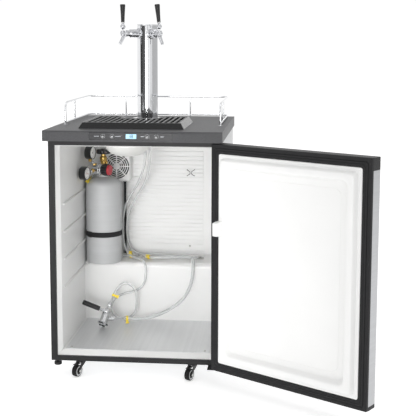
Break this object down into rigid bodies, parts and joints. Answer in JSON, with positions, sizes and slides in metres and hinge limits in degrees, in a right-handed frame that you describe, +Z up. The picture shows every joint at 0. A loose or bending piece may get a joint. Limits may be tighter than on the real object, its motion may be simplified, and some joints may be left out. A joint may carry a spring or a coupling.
{
  "type": "kegerator",
  "caption": "Refrigerated draught beer cabinet on casters with an open hinged door, twin-tap chrome tower, drip tray, gallery rail, gas cylinder, regulator, keg coupler and hoses.",
  "frame": {"origin": "on the floor under the centre of the whole object's bounding box, with the door open as stored", "axes": "+X to the right seen from the front, +Y towards the back, +Z up"},
  "size_m": [1.0712, 0.961, 1.2732],
  "materials": {
    "painted_steel": "satin grey powder coat",
    "frame_paint": "satin black paint",
    "hardware_paint": "black paint",
    "hood_plastic": "fine grained charcoal moulding",
    "white_liner": "smooth white moulding",
    "stainless": "brushed stainless steel",
    "chrome": "polished",
    "black_plastic": "fine grained black",
    "panel_plastic": "glossy black",
    "display": "lit display window",
    "rubber": "soft magnetic gasket",
    "tyre": "moulded tread",
    "lamp": "milky diffuser",
    "aluminium": "spun and brushed",
    "brass": "machined",
    "webbing": "woven strap",
    "red_black_knob": "black with red cap",
    "hose": "clear flexible tube",
    "grey_plastic": "grained charcoal trim"
  },
  "bodies": {
    "cabinet": {"outer_shell": "painted_steel", "face_frame": "frame_paint", "inner_liner": "white_liner", "floor_plate": "stainless", "rear_grille": "hardware_paint", "compressor": "hardware_paint", "hood_top": "hood_plastic", "control_panel": "panel_plastic", "display_window": "display", "guard_rail": "chrome", "tower_base": "chrome", "tower_column": "chrome", "tower_cap": "chrome", "shank_left": "chrome", "shank_right": "chrome", "faucet_left": "chrome", "faucet_right": "chrome", "line_grommet": "rubber", "lamp_cover": "lamp", "fan_cover": "white_liner", "co2_cylinder": "aluminium", "cylinder_strap": "webbing", "cylinder_valve": "brass", "regulator_body": "chrome", "high_pressure_gauge": "panel_plastic", "low_pressure_gauge": "panel_plastic", "gas_tee": "stainless", "coupler_body": "chrome", "top_hinge": "hardware_paint", "bottom_hinge": "hardware_paint", "beer_line_left": "hose", "beer_line_right": "hose", "beer_line_nut": "stainless", "gas_line_feed": "hose", "gas_line_coupler": "hose"},
    "door": {"door_skin": "stainless", "door_liner": "white_liner", "door_gasket": "rubber", "door_top_cap": "grey_plastic", "door_bottom_cap": "grey_plastic"},
    "drip_tray": {"drip_tray": "black_plastic"},
    "drip_grate": {"drip_grate": "black_plastic"},
    "power_button": {"power_button": "panel_plastic"},
    "light_button": {"light_button": "panel_plastic"},
    "temp_up_button": {"temp_up_button": "panel_plastic"},
    "temp_down_button": {"temp_down_button": "panel_plastic"},
    "tap_lever_left": {"tap_lever_left": "black_plastic"},
    "tap_lever_right": {"tap_lever_right": "black_plastic"},
    "fan_rotor": {"fan_rotor": "black_plastic"},
    "valve_handwheel": {"valve_handwheel": "black_plastic"},
    "regulator_knob": {"regulator_knob": "red_black_knob"},
    "coupler_handle": {"coupler_handle": "black_plastic"},
    "caster_fork_front_left": {"caster_fork_front_left": "hardware_paint"},
    "caster_wheel_front_left": {"caster_wheel_front_left": "tyre"},
    "caster_fork_front_right": {"caster_fork_front_right": "hardware_paint"},
    "caster_wheel_front_right": {"caster_wheel_front_right": "tyre"},
    "caster_fork_rear_left": {"caster_fork_rear_left": "hardware_paint"},
    "caster_wheel_rear_left": {"caster_wheel_rear_left": "tyre"},
    "caster_fork_rear_right": {"caster_fork_rear_right": "hardware_paint"},
    "caster_wheel_rear_right": {"caster_wheel_rear_right": "tyre"}
  },
  "joints": [
    {"name": "door_hinge", "type": "hinge", "parent": "cabinet", "child": "door", "pos_m": [0.04175, -0.14744, 0.43], "axis": [0, 0, 1], "range_deg": [-147, 13]},
    {"name": "drip_tray_lift", "type": "slide", "parent": "cabinet", "child": "drip_tray", "axis": [0, 0, 1], "range_m": [0, 0.12]},
    {"name": "drip_grate_lift", "type": "slide", "parent": "drip_tray", "child": "drip_grate", "axis": [0, 0, 1], "range_m": [0, 0.08]},
    {"name": "power_button_press", "type": "slide", "parent": "cabinet", "child": "power_button", "axis": [0, 1, 0], "range_m": [0, 0.0008], "stiffness_N_per_m": 800},
    {"name": "light_button_press", "type": "slide", "parent": "cabinet", "child": "light_button", "axis": [0, 1, 0], "range_m": [0, 0.0008], "stiffness_N_per_m": 800},
    {"name": "temp_up_button_press", "type": "slide", "parent": "cabinet", "child": "temp_up_button", "axis": [0, 1, 0], "range_m": [0, 0.0008], "stiffness_N_per_m": 800},
    {"name": "temp_down_button_press", "type": "slide", "parent": "cabinet", "child": "temp_down_button", "axis": [0, 1, 0], "range_m": [0, 0.0008], "stiffness_N_per_m": 800},
    {"name": "tap_lever_left_pull", "type": "hinge", "parent": "cabinet", "child": "tap_lever_left", "pos_m": [-0.33626, 0.22438, 1.1805], "axis": [0.6018, -0.7986, 0], "range_deg": [0, 40]},
    {"name": "tap_lever_right_pull", "type": "hinge", "parent": "cabinet", "child": "tap_lever_right", "pos_m": [-0.19874, 0.20168, 1.18043], "axis": [0.8147, 0.5704, 0.1045], "range_deg": [0, 40]},
    {"name": "fan_rotor_spin", "type": "hinge", "parent": "cabinet", "child": "fan_rotor", "pos_m": [-0.3926, 0.39016, 0.6595], "axis": [0, 1, 0], "continuous": true},
    {"name": "valve_handwheel_turn", "type": "hinge", "parent": "cabinet", "child": "valve_handwheel", "pos_m": [-0.4256, 0.28816, 0.728], "axis": [0, 0, 1], "range_deg": [0, 720]},
    {"name": "regulator_knob_turn", "type": "hinge", "parent": "cabinet", "child": "regulator_knob", "pos_m": [-0.4316, 0.22516, 0.668], "axis": [0.9659, -0.2588, 0], "range_deg": [-720, 720]},
    {"name": "coupler_handle_lift", "type": "hinge", "parent": "cabinet", "child": "coupler_handle", "pos_m": [-0.39273, 0.16684, 0.14469], "axis": [-0.112, 0.9099, -0.3995], "range_deg": [0, 45]},
    {"name": "caster_front_left_swivel", "type": "hinge", "parent": "cabinet", "child": "caster_fork_front_left", "pos_m": [-0.4326, -0.09384, 0.05], "axis": [0, 0, 1], "continuous": true},
    {"name": "caster_front_left_roll", "type": "hinge", "parent": "caster_fork_front_left", "child": "caster_wheel_front_left", "pos_m": [-0.44234, -0.11794, 0.02], "axis": [0.9272, -0.3746, 0], "continuous": true},
    {"name": "caster_front_right_swivel", "type": "hinge", "parent": "cabinet", "child": "caster_fork_front_right", "pos_m": [-0.0466, -0.09384, 0.05], "axis": [0, 0, 1], "continuous": true},
    {"name": "caster_front_right_roll", "type": "hinge", "parent": "caster_fork_front_right", "child": "caster_wheel_front_right", "pos_m": [-0.05634, -0.11794, 0.02], "axis": [0.9272, -0.3746, 0], "continuous": true},
    {"name": "caster_rear_left_swivel", "type": "hinge", "parent": "cabinet", "child": "caster_fork_rear_left", "pos_m": [-0.4326, 0.42016, 0.05], "axis": [0, 0, 1], "continuous": true},
    {"name": "caster_rear_left_roll", "type": "hinge", "parent": "caster_fork_rear_left", "child": "caster_wheel_rear_left", "pos_m": [-0.43532, 0.39431, 0.02], "axis": [0.9945, -0.1045, 0], "continuous": true},
    {"name": "caster_rear_right_swivel", "type": "hinge", "parent": "cabinet", "child": "caster_fork_rear_right", "pos_m": [-0.0466, 0.42016, 0.05], "axis": [0, 0, 1], "continuous": true},
    {"name": "caster_rear_right_roll", "type": "hinge", "parent": "caster_fork_rear_right", "child": "caster_wheel_rear_right", "pos_m": [-0.04932, 0.39431, 0.02], "axis": [0.9945, -0.1045, 0], "continuous": true}
  ]
}
